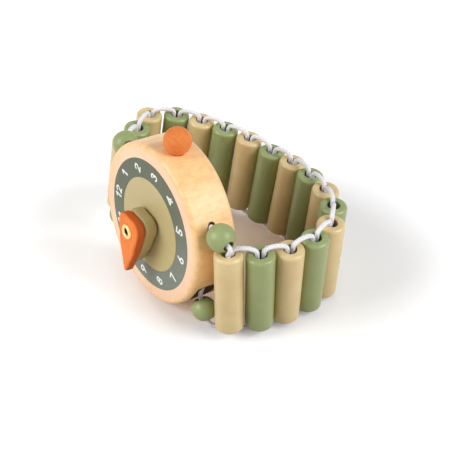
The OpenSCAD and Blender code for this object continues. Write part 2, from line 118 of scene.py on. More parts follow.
class Value:
    """A shader socket whose arithmetic adds Math nodes."""

    def __init__(self, shader: Shader, socket: bpy.types.NodeSocket) -> None:
        """Wraps a socket of a shader's tree."""
        self.shader = shader
        self.socket = socket

    def _math(self, operation: str, first: Number, second: Number = 0.0) -> Value:
        """Returns the result of one Math node."""
        node = self.shader.node("ShaderNodeMath", {0: first, 1: second}, operation=operation)
        return Value(self.shader, node.outputs[0])

    def __add__(self, other: Number) -> Value:
        """Returns self + other."""
        return self._math("ADD", self, other)

    __radd__ = __add__

    def __sub__(self, other: Number) -> Value:
        """Returns self - other."""
        return self._math("SUBTRACT", self, other)

    def __rsub__(self, other: Number) -> Value:
        """Returns other - self."""
        return self._math("SUBTRACT", other, self)

    def __mul__(self, other: Number) -> Value:
        """Returns self * other."""
        return self._math("MULTIPLY", self, other)

    __rmul__ = __mul__

    def __abs__(self) -> Value:
        """Returns the value without its sign."""
        return self._math("ABSOLUTE", self)

    def smooth(self, low: float, high: float) -> Value:
        """Returns a smooth step of the value.

        Args:
            low: The value at which the step starts.
            high: The value at which the step ends.

        Returns:
            The step, from 0 to 1.
        """
        node = self.shader.node("ShaderNodeMapRange", {"Value": self, 1: low, 2: high},
                                interpolation_type="SMOOTHSTEP")
        return Value(self.shader, node.outputs[0])


Number = Union[Value, float, int]
Link = Union[Value, bpy.types.NodeSocket, float, int, Sequence[float]]


class Shader:
    """The node tree of a material or the world, with its shader node."""

    def __init__(self, owner: Union[bpy.types.Material, bpy.types.World],
                 surface: str = "Principled BSDF") -> None:
        """Takes over a new material's or world's tree.

        Args:
            owner: The material or world.
            surface: The name of its shader node.
        """
        owner.use_nodes = True
        self.tree = owner.node_tree
        self.surface = self.tree.nodes[surface]

    def node(self, kind: str, inputs: Optional[dict[Union[str, int], Link]] = None,
             **settings: object) -> bpy.types.Node:
        """Adds a node.

        Args:
            kind: The node's type name.
            inputs: Values or links, by socket name or number.
            **settings: Attributes of the node, set before its sockets.

        Returns:
            The new node.
        """
        made = self.tree.nodes.new(kind)
        for key, value in settings.items():
            setattr(made, key, value)
        for key, value in (inputs or {}).items():
            self.join(value, made.inputs[key])
        return made

    def join(self, value: Link, target: bpy.types.NodeSocket) -> None:
        """Links a value to a socket, or sets the socket to it.

        Args:
            value: A value, a link, a number, or the parts of a colour or vector.
            target: The socket.
        """
        if isinstance(value, Value):
            value = value.socket
        if isinstance(value, bpy.types.NodeSocket):
            self.tree.links.new(value, target)
        elif isinstance(value, (tuple, list)) and len(target.default_value) == 4:
            target.default_value = (*value, 1.0)
        else:
            target.default_value = value

    def places(self, scale: Sequence[float] = (1, 1, 1),
               shift: float = 0.0) -> bpy.types.NodeSocket:
        """Gives the piece's own coordinates in millimetres.

        Args:
            scale: How they are stretched along each axis.
            shift: How far they are moved, so that pieces alike differ in grain.

        Returns:
            The socket that carries them.
        """
        own = self.node("ShaderNodeTexCoord").outputs["Object"]
        mapped = self.node("ShaderNodeMapping", {
            "Vector": own, "Location": tuple(shift * part for part in SHIFT_WAY),
            "Scale": tuple(PER_METRE * part for part in scale)})
        return mapped.outputs[0]

    def noise(self, places: bpy.types.NodeSocket, scale: float, detail: float = 3.0,
              rough: float = 0.55, bend: float = 0.0) -> Value:
        """Adds a noise texture.

        Args:
            places: The coordinates that it is laid on.
            scale: Its cells per millimetre.
            detail: Its finer layers.
            rough: How strong these are.
            bend: How far it is distorted.

        Returns:
            Its value, from about 0 to 1.
        """
        node = self.node("ShaderNodeTexNoise", {
            "Vector": places, "Scale": scale, "Detail": detail, "Roughness": rough,
            "Distortion": bend})
        return Value(self, node.outputs["Fac"])

    def mix(self, share: Link, first: Link, second: Link) -> bpy.types.NodeSocket:
        """Returns a mix of two colours."""
        node = self.node("ShaderNodeMix", {0: share, 6: first, 7: second}, data_type="RGBA")
        return node.outputs[2]

    def far_from_axis(self) -> Value:
        """Returns the distance from the piece's own Z axis in millimetres."""
        flat = self.node("ShaderNodeVectorMath", {0: self.places((1, 1, 0))}, operation="LENGTH")
        return Value(self, flat.outputs["Value"])

    def along_line(self, line: Sequence[float]) -> Value:
        """Returns the piece's own coordinates in millimetres, measured along a line."""
        dot = self.node("ShaderNodeVectorMath", {0: self.places(), 1: line},
                        operation="DOT_PRODUCT")
        return Value(self, dot.outputs["Value"])

    def seen(self) -> Value:
        """Returns 1 for what the camera sees directly, mirrored or through glass, and else 0."""
        rays = self.node("ShaderNodeLightPath").outputs
        return (Value(self, rays["Is Camera Ray"]) + Value(self, rays["Is Glossy Ray"])
                + Value(self, rays["Is Transmission Ray"]))

    def bump(self, height: Value, depth_mm: float, strength: float) -> bpy.types.NodeSocket:
        """Returns a normal bumped by a height from 0 to 1."""
        node = self.node("ShaderNodeBump", {
            "Height": height, "Distance": depth_mm * MM, "Strength": strength})
        return node.outputs["Normal"]

    def finish(self, **sockets: Link) -> None:
        """Sets the shader node's sockets, named with underscores."""
        for name, value in sockets.items():
            self.join(value, self.surface.inputs[name.replace("_", " ")])


@dataclass(frozen=True)
class Finish:
    """A named finish, made into a material for the pieces that have it."""
    name: str

    def material(self) -> bpy.types.Material:
        """Builds a material with this finish.

        Returns:
            The material.
        """
        made = bpy.data.materials.new(self.name)
        self.apply(Shader(made))
        return made

    def apply(self, s: Shader) -> None:
        """Sets the sockets of a material's shader."""
        raise NotImplementedError


@dataclass(frozen=True)
class TurnedWood(Finish):
    """Clear-lacquered pale wood: a rosy face, and a golden, mottled rim of end and long grain.

    The spans tell where one look passes into the next: the rim by its distance from the axis, the
    face's painted shade on its far side along X, the painted shade inside the holes and their mouth
    by the square of the distance from the hole's axis, and the mouth's side of the case along Y.
    """
    face: Colour
    face_deep: Colour
    rim: Colour
    rim_deep: Colour
    # bore is the colour of the painted shade inside the cord's holes and their mouth.
    bore: Colour
    rough: float = 0.36
    rim_span: Span = (21.2, 22.8)
    # The next two fields place the painted shade on the face's far side along X.
    far_span: Span = (-23.0, -14.0)
    painted_shade_share: float = 0.4
    hole_span: Span = (2.2, 2.7)
    mouth_span: Span = (12.0, 12.9)
    mouth_side: Span = (-7.4, -7.0)

    def apply(self, s: Shader) -> None:
        """Finishes the case.

        Args:
            s: The shader of its material.
        """
        along = s.places((1.0, 0.14, 1.0))
        cloud = s.noise(s.places(), 0.07, detail=2.0)
        streaks = s.noise(along, 0.9, detail=4.0, rough=0.6, bend=0.4)
        fibres = s.noise(along, 3.4, detail=4.0, rough=0.65)
        pores = s.noise(s.places((1.0, 0.3, 0.3)), 3.6, detail=2.0, rough=0.5).smooth(0.62, 0.72)
        mottle = s.noise(s.places((1.0, 1.0, 0.6)), 0.6, detail=5.0, rough=0.62, bend=0.3)
        sideways = s.along_line(X_AXIS)
        wash = cloud.smooth(0.36, 0.66) * 0.7 + streaks.smooth(0.45, 0.7) * 0.3
        face = s.mix(wash, self.face, self.face_deep)
        # Painted shade: the face is painted darker towards its far side along X.
        face = s.mix((1 - sideways.smooth(*self.far_span)) * self.painted_shade_share, face, self.rim_deep)
        rim = s.mix(mottle.smooth(0.3, 0.78), self.rim, self.rim_deep)
        base = s.mix(s.far_from_axis().smooth(*self.rim_span), face, rim)
        base = s.mix(fibres.smooth(0.4, 0.75) * 0.08, base, self.rim_deep)
        base = s.mix(pores * 0.14, base, toned(self.rim_deep, 0.6))
        shaded_holes = self.shaded_holes(s, sideways)
        # Painted shade: the insides of the holes and of the near mouth are painted near black.
        base = s.mix(shaded_holes, base, self.bore)
        rough = fibres * 0.12 + mottle * 0.08 + shaded_holes * 0.5 + (self.rough - 0.08)
        height = fibres * 0.5 + mottle * 0.2 + (1 - pores) * 0.3
        s.finish(Base_Color=base, Roughness=rough, Coat_Weight=(1 - shaded_holes) * 0.15,
                 Coat_Roughness=0.3, Normal=s.bump(height, 0.03, 0.45))

    def shaded_holes(self, s: Shader, sideways: Value) -> Value:
        """Finds where shade is painted: inside the cord's two holes and the mouth below the near
        one.

        Args:
            s: The wood's shader.
            sideways: The coordinate along the case's X axis.

        Returns:
            A mask, 1 inside.
        """
        off_x = abs(sideways) - HOLE_X
        off_z = s.along_line(Z_AXIS) - HOLE_FRONT
        apart = off_x * off_x + off_z * off_z
        below = 1 - s.along_line(Y_AXIS).smooth(*self.mouth_side)
        mouth = below * sideways.smooth(0.0, 1.0) * (1 - apart.smooth(*self.mouth_span))
        return (1 - apart.smooth(*self.hole_span)) + mouth


@dataclass(frozen=True)
class Paint(Finish):
    """Satin paint on turned wood, with a faint grain under it and painted shade down its bore."""
    colour: Colour
    deep: Colour
    bore_mm: float = 0.0
    shift: float = 0.0
    rough: float = 0.36
    grain: float = 0.6
    coat: float = 0.3

    def apply(self, s: Shader) -> None:
        """Finishes a bead or a cord ball.

        Args:
            s: The shader of its material.
        """
        plain = s.places(shift=self.shift)
        cloud = s.noise(plain, 0.13, detail=2.0)
        grain = s.noise(s.places((1.0, 1.0, 0.12), self.shift), 2.6, rough=0.6)
        specks = s.noise(plain, 4.0, detail=2.0, rough=0.6).smooth(0.66, 0.76)
        base = s.mix(cloud.smooth(0.35, 0.7) * 0.55, self.colour, self.deep)
        base = s.mix(grain.smooth(0.4, 0.75) * 0.22 * self.grain, base, self.deep)
        base = s.mix(specks * 0.10, base, toned(self.colour, 1.35))
        # Painted shade: the bore's wall is painted dark.
        if self.bore_mm:
            inside = 1 - s.far_from_axis().smooth(self.bore_mm - 0.02, self.bore_mm + 0.12)
            base = s.mix(inside * 0.8, base, toned(self.deep, 0.3))
        rough = cloud * 0.10 + (self.rough - 0.05) + specks * 0.05
        height = grain * 0.6 + s.noise(plain, 1.1, detail=2.0) * 0.4
        s.finish(Base_Color=base, Roughness=rough, Coat_Weight=self.coat,
                 Coat_Roughness=0.25, Normal=s.bump(height, 0.05, 0.35 * self.grain))


@dataclass(frozen=True)
class Stain(Finish):
    """Matt stain that shows the grain along the piece's X axis, with painted shade on its sides.

    The sides lie below top_mm, the height of the piece's upper face. Where that is 0, the piece
    has none.
    """
    colour: Colour
    deep: Colour
    # side is the colour of the painted shade on the sides, and of the dark specks.
    side: Colour
    top_mm: float = 0.0
    rough: float = 0.55

    def apply(self, s: Shader) -> None:
        """Finishes a hand, the crown or its peg.

        Args:
            s: The shader of its material.
        """
        along = s.places((0.14, 1.0, 1.0))
        streaks = s.noise(along, 1.3, detail=4.0, rough=0.6, bend=0.5)
        fibres = s.noise(along, 4.2, rough=0.6)
        specks = s.noise(s.places(), 2.4, rough=0.6).smooth(0.6, 0.72)
        base = s.mix(streaks.smooth(0.4, 0.68) * 0.75, self.colour, self.deep)
        base = s.mix(fibres.smooth(0.45, 0.75) * 0.35, base, self.deep)
        base = s.mix(specks * 0.4, base, self.side)
        # Painted shade: below the upper face the sides are painted darker.
        if self.top_mm:
            height = s.along_line(Z_AXIS)
            side_shade = 1 - height.smooth(self.top_mm - 0.55, self.top_mm - 0.05)
            base = s.mix(side_shade * 0.85, base, self.side)
        s.finish(Base_Color=base, Roughness=fibres * 0.15 + (self.rough - 0.05),
                 Specular_IOR_Level=0.25, Normal=s.bump(fibres * 0.6 + streaks * 0.4, 0.05, 0.5))


@dataclass(frozen=True)
class Print(Finish):
    """A matt printed layer that shows a little grain, with a painted sheen along a line."""
    colour: Colour
    deep: Colour
    # The next two fields place the painted sheen: its direction, and its reach in millimetres.
    sheen_along: tuple[float, float, float] = (0.5, -0.8, 0.0)
    reach: float = 18.0
    rough: float = 0.42

    def apply(self, s: Shader) -> None:
        """Finishes one printed layer.

        Args:
            s: The shader of its material.
        """
        fibres = s.noise(s.places((1.0, 0.1, 1.0)), 2.8, rough=0.6)
        cloud = s.noise(s.places(), 0.16, detail=2.0)
        # Painted sheen: the print is painted paler along a line.
        painted_sheen = s.along_line(self.sheen_along).smooth(-self.reach, self.reach)
        share = (1 - painted_sheen) * 0.8 + (cloud - 0.5) * 0.3 + fibres.smooth(0.4, 0.8) * 0.1
        s.finish(Base_Color=s.mix(share, self.colour, self.deep),
                 Roughness=fibres * 0.12 + self.rough, Normal=s.bump(fibres, 0.015, 0.4))


@dataclass(frozen=True)
class Brass(Finish):
    """Bright rolled brass with fine turning marks, and painted shade down its bore."""
    colour: Colour
    deep: Colour
    bore_mm: float = 1.0

    def apply(self, s: Shader) -> None:
        """Finishes the rivet or its washer.

        Args:
            s: The shader of its material.
        """
        marks = s.noise(s.places((1.0, 1.0, 6.0)), 3.0, detail=2.0)
        tarnish = s.noise(s.places(), 0.9).smooth(0.5, 0.75)
        # Painted shade: the bore's wall is painted dark.
        inside = 1 - s.far_from_axis().smooth(self.bore_mm, self.bore_mm + 0.15)
        base = s.mix(tarnish * 0.35, self.colour, self.deep)
        base = s.mix(inside * 0.7, base, toned(self.deep, 0.3))
        s.finish(Base_Color=base, Metallic=1.0, Normal=s.bump(marks, 0.02, 0.3),
                 Roughness=marks * 0.12 + 0.2 + tarnish * 0.12)


@dataclass(frozen=True)
class Elastic(Finish):
    """White knitted round elastic; its plaits are in the mesh, its yarns in the bump."""
    colour: Colour
    # shade is the colour of the painted shade in the plaits' grooves, and of faint soil.
    shade: Colour

    def apply(self, s: Shader) -> None:
        """Finishes the cord.

        Args:
            s: The shader of its material.
        """
        depth = Value(s, s.node("ShaderNodeAttribute", attribute_name=PLAIT).outputs["Fac"])
        yarn = s.noise(s.places(), 7.0, rough=0.6)
        soil = s.noise(s.places(), 0.35, detail=2.0).smooth(0.5, 0.8)
        # Painted shade darkens the grooves between the plaits; soil adds faint dirt at random.
        base = s.mix((1 - depth) * 0.45 + soil * 0.15, self.colour, self.shade)
        s.finish(Base_Color=base, Roughness=yarn * 0.1 + 0.7, Normal=s.bump(yarn, 0.04, 0.4))


@dataclass(frozen=True)
class Glue(Finish):
    """Dried wood glue, reddish and half gloss."""
    colour: Colour

    def apply(self, s: Shader) -> None:
        """Finishes the glue at the crown's foot.

        Args:
            s: The shader of its material.
        """
        drops = s.noise(s.places(), 1.6, detail=2.0)
        base = s.mix(drops.smooth(0.45, 0.6), self.colour, toned(self.colour, 2.6))
        s.finish(Base_Color=base, Roughness=drops * 0.2 + 0.2, Coat_Weight=0.3)


class Wood(Enum):
    """The two paints of the strap."""
    TAN = "tan"
    GREEN = "green"


TAN = Paint("tan_paint", srgb(222, 199, 146), srgb(208, 182, 128), bore_mm=1.8)
GREEN = Paint("green_paint", srgb(150, 163, 106), srgb(136, 150, 94), bore_mm=1.8)
PAINTS = {Wood.TAN: TAN, Wood.GREEN: GREEN}
# CASE_WOOD's last colour is the painted shade inside the cord's holes and their mouth.
CASE_WOOD = TurnedWood("case_wood", srgb(255, 218, 186), srgb(250, 206, 170), srgb(255, 213, 154),
                       srgb(244, 190, 126), srgb(36, 12, 6))
PEG_WOOD = Stain("peg_wood", srgb(226, 190, 140), srgb(205, 160, 105), srgb(210, 170, 120))
# Each print runs from its second colour to its first along its painted sheen, with random cloud.
RING_PRINT = Print("ring_print", srgb(114, 124, 110), srgb(78, 84, 58))
CENTRE_PRINT = Print("centre_print", srgb(196, 182, 134), srgb(182, 166, 108),
                     sheen_along=(-0.4, 0.8, 0.0))
NUMERAL_PRINT = Print("numeral_print", srgb(246, 248, 244), srgb(232, 236, 232))
BRASS = Brass("brass", (0.95, 0.66, 0.26), (0.72, 0.42, 0.12))
# ELASTIC's second colour is the painted shade in the grooves, and the soil.
ELASTIC = Elastic("elastic", srgb(244, 243, 246), srgb(186, 184, 196))
GLUE = Glue("glue", srgb(140, 52, 36))
# ORANGE_STAIN and HOUR_STAIN: the third colour is the painted shade on the hands' sides.
ORANGE_STAIN = Stain("orange_stain", srgb(244, 140, 66), srgb(228, 112, 46), srgb(190, 80, 16),
                     top_mm=2.8)
CROWN_STAIN = Stain("crown_stain", srgb(230, 134, 66), srgb(220, 118, 54), srgb(210, 110, 50))
HOUR_STAIN = Stain("hour_stain", srgb(196, 178, 124), srgb(184, 166, 112), srgb(188, 168, 116),
                   top_mm=3.7)


# Meshes

def mesh_piece(name: str, points: np.ndarray, faces: Sequence[Sequence[int]],
               place: Matrix) -> bpy.types.Object:
    """Makes a smooth-shaded mesh object.

    Args:
        name: The piece's name.
        points: Its vertices in millimetres, in the piece's own axes.
        faces: Its faces as tuples of vertex numbers.
        place: Where the piece's axes lie in the row frame.

    Returns:
        The new object, linked to the scene.
    """
    mesh = bpy.data.meshes.new(name)
    mesh.from_pydata((np.asarray(points) * MM).tolist(), [], [tuple(f) for f in faces])
    mesh.validate()
    mesh.polygons.foreach_set("use_smooth", [True] * len(mesh.polygons))
    mesh.update()
    piece = bpy.data.objects.new(name, mesh)
    bpy.context.scene.collection.objects.link(piece)
    piece.matrix_world = place
    return piece


def closed_grid(rows: int, columns: int) -> list[tuple[int, int, int, int]]:
    """Numbers the quads of a grid that closes both ways.

    Args:
        rows: How many rows of vertices it has.
        columns: How many vertices each row has.

    Returns:
        The vertex numbers of each quad.
    """
    return [(i * columns + j, ((i + 1) % rows) * columns + j,
             ((i + 1) % rows) * columns + (j + 1) % columns, i * columns + (j + 1) % columns)
            for i in range(rows) for j in range(columns)]


def lathe(name: str, outline: Outline, place: Matrix, turns: int = 72) -> bpy.types.Object:
    """Turns a closed outline round the piece's Z axis.

    Args:
        name: The piece's name.
        outline: Points (radius, height) in millimetres, anticlockwise; none on the axis.
        place: Where the piece's axes lie in the row frame.
        turns: How many columns the turned mesh has.

    Returns:
        The turned piece.
    """
    angles = np.linspace(0, 2 * np.pi, turns, endpoint=False)
    points = [(r * math.cos(a), r * math.sin(a), z) for a in angles for r, z in outline]
    return mesh_piece(name, np.array(points), closed_grid(turns, len(outline)), place)


def arc(centre: tuple[float, float], radius: float, start: float, end: float,
        steps: int) -> list[tuple[float, float]]:
    """Places points along an arc.

    Args:
        centre: The arc's centre.
        radius: Its radius.
        start: The angle of its first point, in degrees.
        end: The angle of its last point.
        steps: How many steps it takes.

    Returns:
        The points, both ends included.
    """
    angles = [math.radians(a) for a in np.linspace(start, end, steps + 1)]
    return [(centre[0] + radius * math.cos(a), centre[1] + radius * math.sin(a)) for a in angles]


def upright(middle: Vector, axis: Vector) -> Matrix:
    """Returns axes at a middle point, with Z along an axis."""
    return Matrix.Translation(middle) @ axis.to_track_quat("Z", "Y").to_matrix().to_4x4()


def coat(piece: bpy.types.Object, material: bpy.types.Material) -> None:
    """Gives a piece one material alone."""
    piece.data.materials.clear()
    piece.data.materials.append(material)


def dress(piece: bpy.types.Object, material: bpy.types.Material, body: str, slot: str,
          *nodes: str) -> None:
    """Gives a piece its material and body, and hides the nodes that it replaces.

    Args:
        piece: The piece.
        material: Its material.
        body: The body that it rides on.
        slot: Its material slot in the record. It is not used.
        *nodes: The CAD nodes in whose place it stands.
    """
    coat(piece, material)
    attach(piece, body)
    if nodes:
        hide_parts(*nodes)
    LOG.info("%s rides on %s, in place of %s", piece.name, body, ", ".join(nodes) or "nothing")


# The frame's own places

@dataclass
class Places:
    """Where things lie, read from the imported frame."""
    frame: dict
    joints: dict = field(init=False)

    def __post_init__(self) -> None:
        """Keeps the joints by name."""
        self.joints = {joint["name"]: joint for joint in self.frame["joints"]}

    def line(self, joint: str) -> tuple[Vector, Vector]:
        """Returns a joint's point and axis."""
        found = self.joints[joint]
        return Vector(found["pos_m"]), Vector(found["axis"]).normalized()

    def case_axes(self) -> Matrix:
        """Finds the case's axes: X towards 6, Y towards 3, Z out of the face.

        Returns:
            The axes, at the middle of the case.
        """
        near, to_three = self.line("strap_01")
        far, _ = self.line("strap_17")
        out = self.line("hour_turn")[1]
        to_six = to_three.cross(out).normalized()
        middle = (near + far) / 2 - out * (HOLE_FRONT * MM)
        axes = Matrix((to_six, to_three, out)).transposed().to_4x4()
        return Matrix.Translation(middle) @ axes

    def points(self, node: str) -> np.ndarray:
        """Reads a CAD node's distinct vertices.

        Args:
            node: The node's name.

        Returns:
            The vertices in metres, one in each row.
        """
        mesh = self.frame["nodes"][node].data
        flat = np.zeros(len(mesh.vertices) * 3)
        mesh.vertices.foreach_get("co", flat)
        return np.unique(np.round(flat.reshape(-1, 3), 6), axis=0)

    def turned(self, node: str) -> tuple[Vector, Vector]:
        """Fits the axis of a long turned piece to its vertices.

        Args:
            node: The piece's CAD node.

        Returns:
            Its middle in metres, and its axis, pointing up.
        """
        points = self.points(node)
        middle = points.mean(axis=0)
        _, _, rows = np.linalg.svd(points - middle, full_matrices=False)
        axis = rows[0] * (1 if rows[0][2] > 0 else -1)
        return Vector(middle), Vector(axis)

    def ball(self, node: str, radius: float) -> Vector:
        """Fits the centre of a ball to the vertices on its skin.

        Args:
            node: The ball's CAD node.
            radius: Its radius in millimetres.

        Returns:
            The centre in metres.
        """
        rounds, slack = 8, 0.3
        points = self.points(node)
        grid = np.c_[2 * points, np.ones(len(points))]
        centre = points.mean(axis=0)
        for _ in range(rounds):
            off = np.linalg.norm(points - centre, axis=1) - radius * MM
            skin = np.abs(off) < slack * MM
            found = np.linalg.lstsq(grid[skin], (points[skin] ** 2).sum(axis=1), rcond=None)[0]
            centre = found[:3]
        return Vector(centre)


# The case and its dial

@dataclass
class Case:
    """The turned wooden case."""
    places: Places
    radius: float = CASE_R
    thick: float = 2 * FACE_Z
    edge: float = 1.3
    hole_d: float = 3.0
    mouth_r: float = 3.5
    mouth_from: float = 7.2
    mouth_slope: float = 2.2
    bore_d: float = RIVET_HOLE_D
    recess_d: float = 5.0
    recess: float = 0.9
    seat_r: float = CROWN_R + 0.05
    through: float = 30.0
    turns: int = 240
    tool_turns: int = 64
    sharp: float = 35.0

    def build(self) -> None:
        """Makes the case and paints its hidden peg."""
        axes = self.places.case_axes()
        case = lathe("wooden_case", self.outline(), axes, self.turns)
        cutters = self.cutters(axes)
        for cutter in cutters:
            cut = case.modifiers.new("cut", "BOOLEAN")
            cut.operation = "DIFFERENCE"
            cut.solver = "EXACT"
            cut.object = cutter
        settle(case)
        for cutter in cutters:
            bpy.data.objects.remove(cutter)
        shade_by_angle(case, self.sharp)
        dress(case, CASE_WOOD.material(), "case_body", "case_wood", "case")
        coat(self.places.frame["nodes"]["crown_peg"], PEG_WOOD.material())

    def outline(self) -> Outline:
        """Draws the half section of the case, with its bore and the recess at its back.

        Returns:
            Points (radius, height) in millimetres, anticlockwise.
        """
        half = self.thick / 2
        inner, recess = self.bore_d / 2, self.recess_d / 2
        rim = self.radius - self.edge
        points = [(inner, self.recess - half), (recess, self.recess - half), (recess, -half)]
        points += [(r, -half) for r in np.linspace(recess, rim, 8)[1:-1]]
        points += arc((rim, self.edge - half), self.edge, -90, 0, 12)
        points += arc((rim, half - self.edge), self.edge, 0, 90, 12)
        return points + [(r, half) for r in np.linspace(rim, inner, 8)[1:]]

    def cutters(self, axes: Matrix) -> list[bpy.types.Object]:
        """Makes the tools for the cord's two holes, the near one's mouth and the crown's seat.

        Args:
            axes: The case's axes.

        Returns:
            The tools, in the order of their cuts.
        """
        thin, hole_r = 0.01, self.hole_d / 2
        drill = [(thin, -self.through), (hole_r, -self.through), (hole_r, self.through),
                 (thin, self.through)]
        mouth = [(thin, self.mouth_from), (hole_r, self.mouth_from),
                 (self.mouth_r, self.mouth_from + self.mouth_slope), (self.mouth_r, self.through),
                 (thin, self.through)]
        across = Matrix.Rotation(math.radians(90), 4, "X")
        tools = [lathe(name, outline, axes @ Matrix.Translation(
            (side * HOLE_X * MM, 0, HOLE_FRONT * MM)) @ across, self.tool_turns)
            for name, outline, side in (("cut_far", drill, -1), ("cut_near", drill, 1),
                                        ("cut_mouth", mouth, 1))]
        seat = [(self.seat_r * math.cos(a), self.seat_r * math.sin(a))
                for a in np.linspace(-1.55, 1.55, 33)]
        crown = Matrix.Translation((0, CROWN_Y * MM, CROWN_FRONT * MM))
        return tools + [lathe("cut_seat", seat, axes @ crown, self.tool_turns)]


def settle(piece: bpy.types.Object) -> None:
    """Applies a piece's modifiers to its mesh.

    Args:
        piece: The piece.
    """
    bpy.context.view_layer.update()
    graph = bpy.context.evaluated_depsgraph_get()
    mesh = bpy.data.meshes.new_from_object(piece.evaluated_get(graph))
    piece.modifiers.clear()
    piece.data = mesh


def shade_by_angle(piece: bpy.types.Object, degrees: float) -> None:
    """Shades a piece smooth, but sharp over steep edges.

    Args:
        piece: The piece.
        degrees: The angle over which an edge is sharp.
    """
    mesh = piece.data
    mesh.polygons.foreach_set("use_smooth", [True] * len(mesh.polygons))
    mesh.set_sharp_from_angle(angle=math.radians(degrees))


@dataclass
class Dial:
    """The printed ring, centre and numerals."""
    places: Places
    face: float = FACE_Z
    ring_d: float = 38.4
    centre_d: float = 27.4
    hole_d: float = RIVET_HOLE_D
    gap: float = 0.05
    print_t: float = 0.1
    lip: float = 0.04
    turns: int = 256
    sharp: float = 25.0

    def layer(self, name: str, inner: float, outer: float) -> bpy.types.Object:
        """Makes one printed layer as a thin turned ring.

        Args:
            name: The piece's name.
            inner: Its inner radius in millimetres.
            outer: Its outer radius in millimetres.

        Returns:
            The layer.
        """
        low, top = self.face, self.face + self.print_t
        outline = [(inner, low), (outer, low), (outer, top - self.lip), (outer - self.lip, top),
                   (inner + self.lip, top), (inner, top - self.lip)]
        layer = lathe(name, outline, self.places.case_axes(), self.turns)
        shade_by_angle(layer, self.sharp)
        return layer

    def build(self) -> None:
        """Makes both layers and dresses the numerals."""
        ring = self.layer("printed_ring", self.centre_d / 2, self.ring_d / 2)
        dress(ring, RING_PRINT.material(), "case_body", "ring_print", "dial_ring")
        centre = self.layer("printed_centre", self.hole_d / 2, self.centre_d / 2 - self.gap)
        dress(centre, CENTRE_PRINT.material(), "case_body", "centre_print", "dial_centre")
        coat(self.places.frame["nodes"]["numerals"], NUMERAL_PRINT.material())


# Hands, rivet and crown

@dataclass
class Hand:
    """One teardrop hand with softly sanded edges.

    Its heights are taken from the case's middle, and past_nine is how far its tip has turned.
    """
    places: Places
    name: str
    body: str
    slot: str
    finish: Stain
    low: float
    thick: float
    reach: float
    past_nine: float
    corner_r: float = 3.2
    half_w: float = 5.1
    belly_r: float = 3.8
    belly_share: float = 0.35
    tip_r: float = 0.9
    edge: float = 0.8
    bore_d: float = RIVET_HOLE_D
    dip: float = 0.08
    sharp: float = 40.0

    def outline(self, steps: int = 720) -> tuple[np.ndarray, np.ndarray]:
        """Draws the outline round four discs, anticlockwise from the tip.

        Args:
            steps: Directions in which the outline's reach is taken.

        Returns:
            Its points and its outward normals, in plan.
        """
        side = self.half_w - self.corner_r
        head = self.half_w - self.corner_r / 8 - self.corner_r
        discs = [(np.array(centre), radius) for centre, radius in (
            ((self.reach - self.tip_r, 0.0), self.tip_r),
            ((self.reach * self.belly_share, 0.0), self.belly_r),
            ((-head, side), self.corner_r), ((-head, -side), self.corner_r))]
        points, normals = [], []
        for a in np.linspace(0, 2 * math.pi, steps, endpoint=False):
            normal = np.array([math.cos(a), math.sin(a)])
            centre, radius = max(discs, key=lambda disc: float(disc[0] @ normal) + disc[1])
            points.append(centre + normal * radius)
            normals.append(normal)
        return self.spread(np.array(points), np.array(normals))

    @staticmethod
    def spread(points: np.ndarray, normals: np.ndarray,
               count: int = 180) -> tuple[np.ndarray, np.ndarray]:
        """Spaces points and normals evenly along the closed outline.

        Args:
            points: The outline's points.
            normals: Their normals.
            count: How many are wanted.

        Returns:
            The new points and normals.
        """
        ring = np.vstack([points, points[:1]])
        turned = np.vstack([normals, normals[:1]])
        run = np.r_[0, np.cumsum(np.linalg.norm(np.diff(ring, axis=0), axis=1))]
        keep = np.r_[True, np.diff(run) > 1e-9]
        at = np.linspace(0, run[-1], count, endpoint=False)
        even = np.c_[[np.interp(at, run[keep], ring[keep][:, k]) for k in (0, 1)]].T
        facing = np.c_[[np.interp(at, run[keep], turned[keep][:, k]) for k in (0, 1)]].T
        return even, facing / np.linalg.norm(facing, axis=1, keepdims=True)

    def sections(self) -> list[np.ndarray]:
        """Draws the closed lines from the bore out over the low face and back over the top.

        Returns:
            One array of points for each line, in millimetres.
        """
        points, normals = self.outline()
        angles = np.arctan2(points[:, 1], points[:, 0])
        hole = np.c_[np.cos(angles), np.sin(angles)] * (self.bore_d / 2)
        inset = points - normals * self.edge
        web = [hole + (inset - hole) * share for share in (0.0, 0.06, 0.3, 0.6, 0.85, 1.0)]
        ease = np.linspace(0, math.pi / 2, 7)
        plans = [(plan, 0.0) for plan in web]
        plans += [(inset + normals * self.edge * math.sin(a), self.edge * (1 - math.cos(a)))
                  for a in ease[1:]]
        plans += [(inset + normals * self.edge * math.cos(a),
                   self.thick - self.edge * (1 - math.sin(a))) for a in ease[:-1]]
        plans += [(plan, self.thick) for plan in reversed(web[1:])]
        plans += [(hole, self.thick - self.dip)]
        return [np.c_[plan, np.full(len(plan), height)] for plan, height in plans]

    def build(self) -> None:
        """Makes the hand from its sections."""
        rows = self.sections()
        faces = [(a, d, c, b) for a, b, c, d in closed_grid(len(rows), len(rows[0]))]
        place = (self.places.case_axes() @ Matrix.Translation((0, 0, self.low * MM))
                 @ Matrix.Rotation(math.radians(270 - self.past_nine), 4, "Z"))
        hand = mesh_piece(self.name + "_wood", np.vstack(rows), faces, place)
        shade_by_angle(hand, self.sharp)
        dress(hand, self.finish.material(), self.body, self.slot, self.name)


